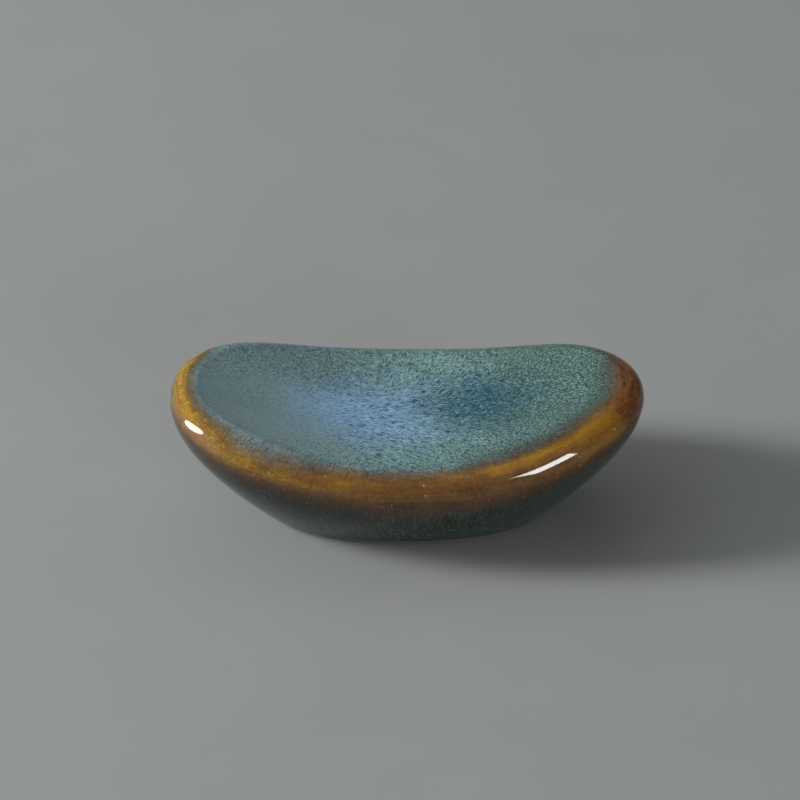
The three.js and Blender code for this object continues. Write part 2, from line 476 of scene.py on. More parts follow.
class Skin:
    """The rule of the glazed skin, as three node groups.

    Profile runs from 0 in the middle of the dish to 1 at its edge, 2 at the end of the rim and 3 at the
    glaze line. Turn goes round the rest, in radians. Tilt is the lean of the rim's section from straight
    up. The glaze ripples a little, and stays under the CAD's skin.
    """

    DISH_EDGE = 1.0
    RIM_END = 2.0
    GLAZE_LINE = 3.0
    NUDGE = 0.004
    NEAR_POLE = 0.02
    RIPPLE = 0.035 * MM
    RIPPLE_PER_METRE = 150.0
    RIPPLE_TOP = 0.65
    BASE_COAT = 0.4 * MM
    TURNS = 240

    def __init__(self, shape: RestShape) -> None:
        """Writes the groups.

        Args:
            shape: The sizes of the rest.
        """
        self.shape = shape
        self.section = self._write_section()
        self.rule = self._write_rule()
        self.sunk = self._write_sunk()

    def _write_section(self) -> Tree:
        """Writes the rim's section.

        Returns:
            The group that follows the rim's crest, land and shoulder from the crest to a tilt.
        """
        sizes = ("Crest Radius", "Land Tilt", "Land Radius", "Shoulder Tilt", "Shoulder Radius")
        inputs = {"Tilt": Port.VALUE, **{label: Port.VALUE for label in sizes}}
        outputs = {"Out": Port.VALUE, "Drop": Port.VALUE, "Run": Port.VALUE}
        t = Tree.group("rest_rim_section", TreeKind.GEOMETRY, inputs, outputs)
        g = t.given
        land = g["Land Tilt"]
        shoulder = g["Shoulder Tilt"]
        arcs = (
            (g["Crest Radius"], 0.0, t.least(g["Tilt"], land)),
            (g["Land Radius"], land, t.least(t.most(g["Tilt"], land), shoulder)),
            (g["Shoulder Radius"], shoulder, t.most(g["Tilt"], shoulder)),
        )
        out: Operand = 0.0
        drop: Operand = 0.0
        run: Operand = 0.0
        for radius, start, end in arcs:
            out = out + radius * (t.sin(end) - t.sin(start))
            drop = drop + radius * (t.cos(start) - t.cos(end))
            run = run + radius * (end - start)
        t.give({"Out": out, "Drop": drop, "Run": run})
        return t

    def _write_rule(self) -> Tree:
        """Writes the skin.

        Returns:
            The group that gives a point of the skin, where it lies on it and how thick the upper coat is.
        """
        sizes = {label_of(item.name): getattr(self.shape, item.name) for item in fields(self.shape)}
        inputs = {"Profile": Port.VALUE, "Turn": Port.VALUE, **{label: Port.VALUE for label in sizes}}
        outputs = {
            "Point": Port.VECTOR,
            "Crest": Port.VECTOR,
            "Across": Port.VALUE,
            "Coat": Port.VALUE,
            "Well Edge": Port.VALUE,
            "Flank Edge": Port.VALUE,
        }
        t = Tree.group("rest_skin_rule", TreeKind.GEOMETRY, inputs, outputs)
        for label, value in sizes.items():
            t.default(label, value)
        g = t.given
        profile = g["Profile"]

        def section(tilt: Operand) -> Dict[str, Field]:
            """The rim's section at a tilt."""
            sizes = {label: g[label] for label in self.section.given if label != "Tilt"}
            return t.use(self.section, {"Tilt": tilt, **sizes})

        # Plan outline: half a superellipse at each end, in the direction of the turn
        cos = t.cos(g["Turn"])
        sin = t.sin(g["Turn"])
        left = t.math("LESS_THAN", cos, 0.0)
        power = g["Right Outline Power"] + (g["Left Outline Power"] - g["Right Outline Power"]) * left
        reach = (t.size(cos) ** power + t.size(sin) ** power) ** (1 / power)
        plan_x = cos / reach
        plan_y = sin / reach

        # Crest of the rim: climbs to both ends
        along = t.size(plan_x) ** g["Rise Power"]
        lift = t.sin(along * (math.pi / 2)) ** 2.0
        end_height = g["Right End Height"] + (g["Left End Height"] - g["Right End Height"]) * left
        crest = g["Middle Height"] + (end_height - g["Middle Height"]) * lift
        floor = g["Middle Height"] - g["Dish Depth"]

        # Rim, from the slope of the dish to past upright
        rim_width = section(math.pi / 2)["Out"]
        crest_x = (g["Length"] * 0.5 - rim_width) * plan_x
        crest_y = (g["Width"] * 0.5 - rim_width) * plan_y
        slope = 2.0 * (crest - floor) / t.hypot(crest_x, crest_y)
        first_tilt = -t.math("ARCTANGENT", slope)
        last_tilt = g["Rim Wrap"] + math.pi / 2
        rim = section(first_tilt + t.unit(profile - self.DISH_EDGE) * (last_tilt - first_tilt))
        half_length = g["Length"] * 0.5 - rim_width + rim["Out"]
        half_width = g["Width"] * 0.5 - rim_width + rim["Out"]
        rim_z = crest - rim["Drop"]

        # Flank: a quadratic curve from the rim, by its knee, to the glaze line
        share = t.most(profile - self.RIM_END, 0.0)
        fall = crest - section(last_tilt)["Drop"] - g["Glaze Line Height"]
        drop = fall * g["Flank Fullness"]
        run = drop * t.math("TANGENT", g["Rim Wrap"])
        stay = (1.0 - share) ** 2.0
        knee = 2.0 * share * (1.0 - share)
        go = share * share
        flank_length = (stay + knee) * half_length - knee * run + go * (g["Glaze Line Length"] * 0.5)
        flank_width = (stay + knee) * half_width - knee * run + go * (g["Glaze Line Width"] * 0.5)
        flank_z = (stay + knee) * rim_z - knee * drop + go * g["Glaze Line Height"]

        # Dish: a parabola inside the rim
        inward = t.least(profile, self.DISH_EDGE)
        x = flank_length * plan_x * inward
        y = flank_width * plan_y * inward
        z = floor + (flank_z - floor) * inward ** 2.0

        # Upper coats: one in the well, feathered out on the rim, and one on the flank, rolled at its foot
        edge_run = t.hypot(half_length * plan_x, half_width * plan_y)
        well_turn = (g["Well Coat Tilt"] - first_tilt) / (last_tilt - first_tilt)
        pool = g["Well Coat"] + (g["Well Pool"] - g["Well Coat"]) * (1.0 - inward * inward) ** 2.0
        well = pool * t.unit(1.0 - t.most(profile - self.DISH_EDGE, 0.0) / well_turn)
        flank_start = g["Band Drop"] / (2.0 * drop)
        down = t.unit((share - flank_start) / (1.0 - flank_start))
        thin = g["Flank Coat"] * (1.0 - (1.0 - down) ** 4.0)
        roll = (g["Flank Roll"] - g["Flank Coat"]) * down ** 4.0
        across = rim["Run"] - (1.0 - inward) * edge_run + share * fall

        t.give(
            {
                "Point": t.vector(x, y, z),
                "Crest": t.vector(crest_x, crest_y, crest),
                "Across": across,
                "Coat": well + thin + roll,
                "Well Edge": self.DISH_EDGE + well_turn,
                "Flank Edge": self.RIM_END + flank_start,
            }
        )
        return t

    def _write_sunk(self) -> Tree:
        """Writes the skin's inner layers.

        Returns:
            The group that gives a point at a depth under the skin, with the glaze's slight ripple.
        """
        inputs = {
            "Profile": Port.VALUE,
            "Turn": Port.VALUE,
            "Depth": Port.VALUE,
            "Coat Share": Port.VALUE,
        }
        outputs = {
            "Point": Port.VECTOR,
            "Normal": Port.VECTOR,
            "Crest": Port.VECTOR,
            "Across": Port.VALUE,
        }
        t = Tree.group("rest_sunk_skin", TreeKind.GEOMETRY, inputs, outputs)
        profile = t.given["Profile"]
        turn = t.given["Turn"]
        here = t.use(self.rule, {"Profile": profile, "Turn": turn})
        off_pole = t.most(profile, self.NEAR_POLE)

        def point(profile_step: float, turn_step: float) -> Field:
            """A neighbouring point of the skin."""
            at = {"Profile": off_pole + profile_step, "Turn": turn + turn_step}
            return t.use(self.rule, at)["Point"]

        along = t.vmath("SUBTRACT", point(self.NUDGE, 0.0), point(-self.NUDGE, 0.0))
        around = t.vmath("SUBTRACT", point(0.0, self.NUDGE), point(0.0, -self.NUDGE))
        normal = t.vmath("NORMALIZE", t.vmath("CROSS_PRODUCT", along, around))
        height = t.noise(here["Point"], self.RIPPLE_PER_METRE, detail=1.0)
        ripple = (height - self.RIPPLE_TOP) * (2 * self.RIPPLE)
        depth = t.given["Depth"] + t.given["Coat Share"] * here["Coat"]
        offset = t.scaled(normal, ripple - depth)
        t.give(
            {
                "Point": t.vmath("ADD", here["Point"], offset),
                "Normal": normal,
                "Crest": here["Crest"],
                "Across": here["Across"],
            }
        )
        return t


class Mesher:
    """Shared steps of the geometry trees: a grid to bend, its finish and its turn into a plain mesh."""

    WELD = 0.001 * MM
    SHARP = math.radians(40)

    @staticmethod
    def grid(t: Tree, rows: Operand, columns: Operand) -> Tuple[Field, Field, Field]:
        """A flat grid of vertices.

        Args:
            t: The tree.
            rows: Vertices along the profile.
            columns: Vertices round the rest, the last over the first.

        Returns:
            The mesh, the row as a share from 0 to 1, and the turn in radians.
        """
        inputs = {"Size X": 1.0, "Size Y": 1.0, "Vertices X": rows, "Vertices Y": columns}
        made = t.node("GeometryNodeMeshGrid", inputs)
        x, y, _ = t.parts(t.out(t.node("GeometryNodeInputPosition")))
        return t.out(made, "Mesh"), x + 0.5, (y + 0.5) * (2 * math.pi)

    @staticmethod
    def store(t: Tree, mesh: Field, name: str, value: Field, data_type: str) -> Field:
        """The mesh with a value stored on its points as a named attribute."""
        inputs = {"Geometry": mesh, "Name": name, "Value": value}
        return t.out(t.node("GeometryNodeStoreNamedAttribute", inputs, data_type=data_type, domain="POINT"))

    @classmethod
    def finish(cls, t: Tree, mesh: Field, point: Field, skin: Dict[str, Field], material: Field) -> Field:
        """Bends a grid to its points, notes where each lies on the skin, and welds and dresses it.

        Args:
            t: The tree.
            mesh: The flat grid.
            point: Where its vertices go.
            skin: What the skin says of each: its distance across the rim and its crest point.
            material: The piece's material.

        Returns:
            The finished mesh.
        """
        across = skin["Across"] * PER_MM
        crest = t.scaled(skin["Crest"], PER_MM)
        stored = cls.store(t, mesh, GlazePlace.ACROSS, across, "FLOAT")
        stored = cls.store(t, stored, GlazePlace.CREST, crest, "FLOAT_VECTOR")
        bent = t.out(t.node("GeometryNodeSetPosition", {"Geometry": stored, "Position": point}))
        welded = t.out(t.node("GeometryNodeMergeByDistance", {"Geometry": bent, "Distance": cls.WELD}))
        return cls.dress(t, welded, material)

    @classmethod
    def dress(cls, t: Tree, mesh: Field, material: Field) -> Field:
        """Smooths a mesh but for its sharp edges, realizes it and sets its material.

        Args:
            t: The tree.
            mesh: The mesh.
            material: Its material.

        Returns:
            The dressed mesh.
        """
        smooth = t.out(t.node("GeometryNodeSetShadeSmooth", {"Geometry": mesh}, domain="FACE"))
        angle = t.out(t.node("GeometryNodeInputMeshEdgeAngle"), "Unsigned Angle")
        soft = t.out(t.node("FunctionNodeCompare", {"A": angle, "B": cls.SHARP}, operation="LESS_THAN"))
        inputs = {"Geometry": smooth, "Shade Smooth": soft}
        creased = t.node("GeometryNodeSetShadeSmooth", inputs, domain="EDGE")
        real = t.node("GeometryNodeRealizeInstances", {"Geometry": t.out(creased)})
        return t.out(t.node("GeometryNodeSetMaterial", {"Geometry": t.out(real), "Material": material}))

    @staticmethod
    def plain(name: str, tree: Tree, values: Dict[str, object]) -> bpy.types.Object:
        """Runs a geometry tree once and keeps its result as a plain mesh.

        Args:
            name: The new object's name.
            tree: The tree, whose only result is a mesh.
            values: The tree's inputs, by name.

        Returns:
            The object, at the origin.
        """
        holder = bpy.data.objects.new(name + "_source", bpy.data.meshes.new(name + "_source"))
        bpy.context.scene.collection.objects.link(holder)
        modifier = holder.modifiers.new(name, "NODES")
        modifier.node_group = tree.tree
        for label, value in values.items():
            modifier[tree.identifier(label)] = value
        evaluated = holder.evaluated_get(bpy.context.evaluated_depsgraph_get())
        mesh = bpy.data.meshes.new_from_object(evaluated)
        mesh.name = name
        mesh.materials.pop(index=0)
        holder.modifiers.remove(modifier)
        bpy.data.objects.remove(holder)
        made = bpy.data.objects.new(name, mesh)
        bpy.context.scene.collection.objects.link(made)
        return made


@dataclass(frozen=True)
class Tint:
    """A colour laid over another, and how much of it shows at most."""

    code: str
    share: float = 1.0

    def over(self, t: Tree, colour: Union[Field, Colour], mask: Field) -> Field:
        """The colour with the tint laid over it, as far as a mask from 0 to 1 shows it."""
        return t.blend(mask * self.share, colour, srgb(self.code))


@dataclass(frozen=True)
class Patch:
    """An oval patch of the dish, in millimetres, with a ragged edge and its own tint."""

    x: float
    y: float
    half_length: float
    half_width: float
    edge: Span
    mottled: float
    tint: Tint
    drifting: float = 0.9

    def mask(self, t: Tree, x: Field, y: Field, drift: Field, mottle: Field) -> Field:
        """Where the patch is.

        Args:
            t: The tree.
            x: Place along the rest.
            y: Place across it.
            drift: Broad noise about 0, which bends the edge.
            mottle: Finer noise about 0, which breaks the edge up.

        Returns:
            A mask, 1 in the middle of the patch.
        """
        reach = t.hypot((x - self.x) / self.half_length, (y - self.y) / self.half_width)
        return 1.0 - t.rise(reach + drift * self.drifting + mottle * self.mottled, *self.edge)


class GlazePlace:
    """Where a point of the glaze lies, in millimetres, from the piece's own attributes."""

    ACROSS = "across_rim"
    CREST = "crest_point"

    def write(self) -> Tree:
        """Writes the group.

        Returns:
            The group: a point's place, how far out from the crest it lies, and its crest point.
        """
        outputs = {"Place": Port.VECTOR, "Across": Port.VALUE, "Crest": Port.VECTOR}
        t = Tree.group("glaze_place", TreeKind.SHADER, {}, outputs)
        across = t.out(t.node("ShaderNodeAttribute", attribute_name=self.ACROSS), "Fac")
        crest = t.out(t.node("ShaderNodeAttribute", attribute_name=self.CREST), "Vector")
        t.give({"Place": t.place_mm(), "Across": across, "Crest": crest})
        return t


@dataclass(frozen=True)
class Streaks:
    """Runs in the glaze, down the section of the rest: fine hairs and broader tufts, both about 0."""

    hairs_per_mm: float = 4.2
    hair_stretch: float = 0.14
    tufts_per_mm: float = 0.5
    tuft_stretch: float = 0.1

    def write(self, place_group: Tree) -> Tree:
        """Writes the group.

        Args:
            place_group: The group that gives a point's place.

        Returns:
            The group.
        """
        t = Tree.group("glaze_streaks", TreeKind.SHADER, {}, {"Hair": Port.VALUE, "Tuft": Port.VALUE})
        place = t.use(place_group)
        x, y, _ = t.parts(place["Crest"])
        along_hair = t.vector(x, y, place["Across"] * self.hair_stretch)
        along_tuft = t.vector(x, y, place["Across"] * self.tuft_stretch)
        hair = t.sway(along_hair, self.hairs_per_mm, detail=3.0, roughness=0.65)
        t.give({"Hair": hair, "Tuft": t.sway(along_tuft, self.tufts_per_mm)})
        return t


@dataclass(frozen=True)
class Flecks:
    """Short flecks that lie roughly along the flow of the glaze, out from the pool.

    The flow is lengthwise beside the pool and fans out past it, and noise bends it.
    """

    turn: float = 6.0
    lengthwise: float = 0.75
    lengthwise_least: float = 1.5
    fan: Span = (1.0, 7.0)
    bends_per_mm: float = 1.3
    bend: float = 4.0
    steps: Tuple[float, ...] = (-0.5, -0.33, -0.17, 0.0, 0.17, 0.33, 0.5)

    def write(self, place_group: Tree, pool: Patch) -> Tree:
        """Writes the group, which smears noise along the flow.

        Args:
            place_group: The group that gives a point's place.
            pool: The patch that the glaze flows out from.

        Returns:
            The group.
        """
        inputs = {"Per Mm": Port.VALUE, "Length": Port.VALUE}
        t = Tree.group("glaze_flecks", TreeKind.SHADER, inputs, {"Fleck": Port.VALUE})
        place = t.use(place_group)["Place"]
        x, y, _ = t.parts(place)
        off_x = x - pool.x
        off_y = y - pool.y
        side = off_x / t.hypot(off_x, self.turn)
        along = t.size(off_x) * self.lengthwise + self.lengthwise_least
        outward = off_y * side * t.rise(t.size(off_y), *self.fan)
        out_x, out_y, _ = t.parts(t.vmath("NORMALIZE", t.vector(along, outward, 0.0)))
        bend = t.sway(place, self.bends_per_mm, detail=1.0) * self.bend
        cos = t.cos(bend)
        sin = t.sin(bend)
        flow = t.vector(out_x * cos - out_y * sin, out_x * sin + out_y * cos, 0.0)
        total: Operand = 0.0
        for step in self.steps:
            at = t.vmath("ADD", place, t.scaled(flow, t.given["Length"] * step))
            total = total + t.noise(at, t.given["Per Mm"], detail=1.0)
        t.give({"Fleck": total / float(len(self.steps)) - NOISE_MEAN})
        return t


@dataclass(frozen=True)
class Specks:
    """Pale dots, partly specks of the glaze and partly painted glints off pinholes, of several sizes; only
    some of the cells have one.
    """

    least_size: float = 0.5
    core: float = 0.5

    def write(self, place_group: Tree) -> Tree:
        """Writes the group.

        Args:
            place_group: The group that gives a point's place.

        Returns:
            The group.
        """
        inputs = {"Per Mm": Port.VALUE, "Radius": Port.VALUE, "Share": Port.VALUE}
        t = Tree.group("glaze_specks", TreeKind.SHADER, inputs, {"Speck": Port.VALUE})
        place = t.use(place_group)["Place"]
        cells = t.node("ShaderNodeTexVoronoi", {"Vector": place, "Scale": t.given["Per Mm"]})
        red, green, _ = t.parts(t.out(cells, "Color"))
        radius = t.given["Radius"] * t.given["Per Mm"] * (self.least_size + green)
        dot = 1.0 - t.rise(t.out(cells, "Distance"), radius * self.core, radius)
        t.give({"Speck": dot * t.math("LESS_THAN", red, t.given["Share"])})
        return t


@dataclass(frozen=True)
class Borders:
    """How much of each upper coat covers the amber, the dark fringe along the well's border and a painted
    rim shade.

    Along the front, by the crest's x, three curves say how far out from the crest the well's coat gives way
    to the amber, over how much, and where the amber gives way to the flank's coat. The back has a plainer
    border.
    """

    well_border: Points = (
        (-30.0, 0.4), (-28.5, 0.3), (-26.5, 0.5), (-23.5, 0.9), (-20.0, 1.6), (-15.0, 1.1),
        (-10.0, 0.7), (-5.0, 0.8), (0.0, 0.7), (5.0, 0.55), (10.0, 0.3), (15.0, 0.3),
        (19.6, 0.5), (23.4, -0.2), (26.2, -0.6), (28.0, -0.7), (30.0, -0.3),
    )
    well_fade: Points = (
        (-30.0, 1.0), (-26.0, 1.1), (-23.5, 1.5), (-20.0, 2.2), (-15.0, 2.2), (-10.0, 1.5),
        (0.0, 1.5), (7.0, 1.3), (12.0, 1.1), (18.0, 1.0), (25.0, 1.2), (30.0, 1.2),
    )
    flank_border: Points = (
        (-30.0, 3.0), (-28.5, 3.2), (-26.9, 4.0), (-25.0, 4.9), (-22.0, 5.6), (-20.0, 5.8),
        (-15.0, 5.4), (-7.0, 5.8), (0.0, 6.7), (8.0, 7.0), (15.0, 6.8), (19.6, 6.4),
        (23.4, 5.6), (26.2, 4.6), (28.0, 3.5), (30.0, 2.9),
    )
    back_border: float = 2.3
    back_start: float = 1.5
    back_start_left: float = 3.5
    back_left: Span = (0.0, 10.0)
    back_reach: float = 8.0

    # How far tufts, hairs and grain carry the well's border in and out, and the flank's
    well_tuft: float = 0.9
    fuzz_hair: float = 1.2
    fuzz_grain: float = 1.4
    fuzz_per_mm: float = 2.8
    well_edge: Span = (-1.0, 1.0)
    flank_tuft: float = 2.4
    flank_hair: float = 1.6
    flank_edge: Span = (-1.6, 2.2)

    # The fringe is strongest at the left end, and weakest along the right front
    fringe_shift: float = 0.3
    fringe_fuzz: float = 1.4
    fringe_edge: Span = (-1.2, 1.2)
    fringe: float = 0.3
    fringe_left: float = 0.5
    fringe_back: float = 0.3
    fringe_right: float = -0.3
    left_end: Span = (21.0, 27.0)
    right_front: Span = (2.0, 12.0)

    # A line of painted rim shade inside the amber at the right front, a lip on the crest at the left end,
    # and a comb of dark hairs along the left, thinner at its end
    line: Band = ((-4.6, -0.6), (0.0, 1.5))
    rim_shade_fuzz: float = 0.5
    rim_shade_right: Span = (2.0, 15.0)
    lip: Band = ((-1.4, -0.3), (0.4, 1.6))
    lip_share: float = 0.2
    comb: Band = ((-2.4, -0.6), (1.4, 3.0))
    comb_left: Span = (-6.0, 6.0)
    comb_hair: Span = (0.01, 0.1)
    comb_share: float = 0.8
    comb_left_end: float = -0.35

    def write(self, place_group: Tree, streaks_group: Tree) -> Tree:
        """Writes the group.

        Args:
            place_group: The group that gives a point's place.
            streaks_group: The group that gives the runs.

        Returns:
            The group.
        """
        outputs = {"Well Cover": Port.VALUE, "Flank Cover": Port.VALUE, "Fringe": Port.VALUE}
        t = Tree.group("glaze_borders", TreeKind.SHADER, {}, outputs)
        place = t.use(place_group)
        streaks = t.use(streaks_group)
        hair = streaks["Hair"]
        tuft = streaks["Tuft"]
        across = place["Across"]
        x, y, _ = t.parts(place["Crest"])
        left = t.rise(-x, *self.left_end)
        start = self.back_start + self.back_start_left * t.rise(-x, *self.back_left)
        back = t.rise(y, start, start + self.back_reach)
        front = 1.0 - back

        border = t.curve(x, self.well_border)
        border = border + (self.back_border - border) * back
        fade = t.curve(x, self.well_fade)
        ragged = border - across + tuft * self.well_tuft
        grain = t.sway(place["Place"], self.fuzz_per_mm, roughness=0.6)
        fuzz = hair * self.fuzz_hair + grain * self.fuzz_grain
        well = t.rise(ragged / fade + fuzz, *self.well_edge)
        below = across - t.curve(x, self.flank_border)
        flank = t.rise(below + tuft * self.flank_tuft + hair * self.flank_hair, *self.flank_edge)

        inner = t.rise((ragged + self.fringe_shift) / fade + fuzz * self.fringe_fuzz, *self.fringe_edge)
        strength = self.fringe + self.fringe_left * left + self.fringe_back * back
        strength = strength + self.fringe_right * t.rise(x, *self.right_front) * front
        fringe = 4.0 * inner * (1.0 - inner) * strength
        # Painted rim shade: a dark line inside the amber along the right front
        outer = across - border + fuzz * self.rim_shade_fuzz
        fringe = fringe + t.band(outer, *self.line) * t.rise(x, *self.rim_shade_right) * front
        fringe = fringe + t.band(across, *self.lip) * left * self.lip_share
        combed = t.band(across, *self.comb) * t.rise(-x, *self.comb_left)
        combed = combed * t.rise(hair, *self.comb_hair)
        fringe = fringe + combed * (self.comb_share + self.comb_left_end * left)
        t.give({"Well Cover": well, "Flank Cover": flank, "Fringe": fringe})
        return t


@dataclass(frozen=True)
class AmberColour:
    """Colour of the iron glaze: gold where it is thin, brown where thick, burnt red at the right end."""

    # How gold the band is along the front, by the crest's x
    gold_along: Points = (
        (-30.0, 0.95), (-27.0, 0.9), (-24.0, 0.68), (-20.0, 0.64), (-15.0, 0.58), (-10.0, 0.56),
        (-4.0, 0.46), (4.0, 0.45), (11.0, 0.53), (17.0, 0.62), (20.0, 0.66), (24.0, 0.82),
        (26.0, 0.9), (30.0, 0.65),
    )
    sway: float = 0.6
    hair_sway: float = 0.3
    clouds_per_mm: float = 0.28
    fine_per_mm: float = 1.6
    grains_per_mm: float = 3.6
    plies_along: float = 0.4
    plies_across: float = 1.9

    # More gold on a ridge at the right, and less down the right, at the band's foot and by the crest
    ridge: Band = ((0.7, 1.6), (1.7, 2.9))
    ridge_right: Span = (6.0, 13.0)
    ridge_gold: float = 0.25
    right: Span = (-4.0, 8.0)
    right_low: Span = (2.2, 3.2)
    right_brown: float = 0.1
    low: Span = (4.3, 6.5)
    low_brown: float = 0.2
    crest: Span = (0.2, 1.6)
    crest_brown: float = 0.15

    brown: str = "3f2a18"
    tan: str = "805a31"
    gold_left: str = "ad8720"
    gold_right: str = "a6761a"
    gold_turn: Span = (2.0, 16.0)

    # Bright plies and dark veins, more of both at the left
    left: Span = (-20.0, -6.0)
    gleam: Tint = Tint("d0aa48")
    gleam_at: float = 0.05
    gleam_fine: float = 0.4
    gleam_edge: Span = (0.0, 0.05)
    gleam_from: float = 0.9
    gleam_share: float = 0.15
    gleam_left: float = 0.25
    vein: Tint = Tint("4a2c0d")
    vein_grain: float = 0.3
    vein_edge: Span = (0.0, 0.055)
    vein_share: float = 0.12
    vein_left: float = 0.38

    # The burnt end, with dark and bright plies and a dark streak
    burnt: Span = (25.8, 27.4)
    burnt_sway: float = 3.0
    burnt_back: Span = (3.0, 9.0)
    burnt_share: float = 0.85
    ember_top: str = "8c5424"
    ember: Tint = Tint("70330b")
    ember_down: Span = (0.9, 2.4)
    ember_sway: float = 2.5
    ember_dark: Tint = Tint("341105", 0.8)
    ember_dark_edge: Span = (0.02, 0.12)
    ember_bright: Tint = Tint("b9842a", 0.6)
    ember_bright_edge: Span = (0.08, 0.17)
    ember_grain: float = 0.6
    streak: Band = ((2.2, 2.9), (3.1, 3.9))
    streak_sway: float = 1.6
    streak_along: Band = ((-2.0, 0.5), (2.5, 5.0))
    streak_tint: Tint = Tint("260b03", 0.75)

    # A painted rosy reflection of the floor at the foot of the band at the left end, and pale specks
    rosy: Span = (2.3, 3.6)
    rosy_sway: float = 1.5
    rosy_left: Span = (-27.0, -20.0)
    rosy_front: Span = (-3.0, 1.0)
    rosy_tint: Tint = Tint("8f6c5c", 0.55)
    # Pale dots on the band: partly glaze specks, partly painted glints off pinholes
    speck_and_glint_tint: Tint = Tint("ddd2b0", 0.75)
    specks_per_mm: float = 0.9
    speck_radius: float = 0.13
    speck_share: float = 0.35

    def write(self, place_group: Tree, streaks_group: Tree, specks_group: Tree) -> Tree:
        """Writes the group.

        Args:
            place_group: The group that gives a point's place.
            streaks_group: The group that gives the runs.
            specks_group: The group that gives the specks.

        Returns:
            The group.
        """
        t = Tree.group("glaze_amber", TreeKind.SHADER, {}, {"Color": Port.COLOUR})
        place = t.use(place_group)
        hair = t.use(streaks_group)["Hair"]
        across = place["Across"]
        x, y, _ = t.parts(place["Crest"])
        cloud = t.sway(place["Place"], self.clouds_per_mm, detail=3.0)
        fine = t.sway(place["Place"], self.fine_per_mm, detail=3.0, roughness=0.6)
        grain = t.sway(place["Place"], self.grains_per_mm, roughness=0.6)
        layers = t.vector(x * self.plies_along, y * self.plies_along, across * self.plies_across)
        ply = t.sway(layers, 1.0, detail=3.0, roughness=0.6)

        gold = t.curve(x, self.gold_along) + (cloud + ply + fine) * self.sway + hair * self.hair_sway
        gold = gold + t.band(across, *self.ridge) * t.rise(x, *self.ridge_right) * self.ridge_gold
        gold = gold - t.rise(x, *self.right) * t.rise(across, *self.right_low) * self.right_brown
        gold = gold - t.rise(across, *self.low) * self.low_brown
        gold = gold - (1.0 - t.rise(across, *self.crest)) * self.crest_brown
        colour = t.blend(t.unit(gold * 2.0), srgb(self.brown), srgb(self.tan))
        pure = t.blend(t.rise(x, *self.gold_turn), srgb(self.gold_left), srgb(self.gold_right))
        colour = t.blend(t.unit(gold * 2.0 - 1.0), colour, pure)

        left = 1.0 - t.rise(x, *self.left)
        gleam = 1.0 - t.rise(t.size(ply + fine * self.gleam_fine - self.gleam_at), *self.gleam_edge)
        gleam = gleam * t.unit(gold * 2.0 - self.gleam_from)
        colour = self.gleam.over(t, colour, gleam * (self.gleam_share + self.gleam_left * left))
        vein = 1.0 - t.rise(t.size(fine + grain * self.vein_grain), *self.vein_edge)
        colour = self.vein.over(t, colour, vein * (self.vein_share + self.vein_left * left))

        burnt = t.rise(x + (fine + cloud) * self.burnt_sway, *self.burnt)
        burnt = burnt * (1.0 - t.rise(y, *self.burnt_back))
        lower = t.rise(across + fine * self.ember_sway, *self.ember_down)
        ember = self.ember.over(t, srgb(self.ember_top), lower)
        dark = t.rise(ply + fine * self.ember_grain, *self.ember_dark_edge)
        ember = self.ember_dark.over(t, ember, dark)
        bright = t.rise(-ply - grain * self.ember_grain, *self.ember_bright_edge)
        ember = self.ember_bright.over(t, ember, bright)
        colour = t.blend(burnt * self.burnt_share, colour, ember)
        streak = t.band(across + fine * self.streak_sway, *self.streak) * t.band(y, *self.streak_along)
        colour = self.streak_tint.over(t, colour, streak * burnt)

        # Painted reflection: a rosy grey sheen on the band's foot at the left end
        rosy = t.rise(across + ply * self.rosy_sway, *self.rosy)
        rosy = rosy * (1.0 - t.rise(x, *self.rosy_left)) * (1.0 - t.rise(y, *self.rosy_front))
        colour = self.rosy_tint.over(t, colour, rosy)
        dots = {"Per Mm": self.specks_per_mm, "Radius": self.speck_radius, "Share": self.speck_share}
        t.give({"Color": self.speck_and_glint_tint.over(t, colour, t.use(specks_group, dots)["Speck"])})
        return t


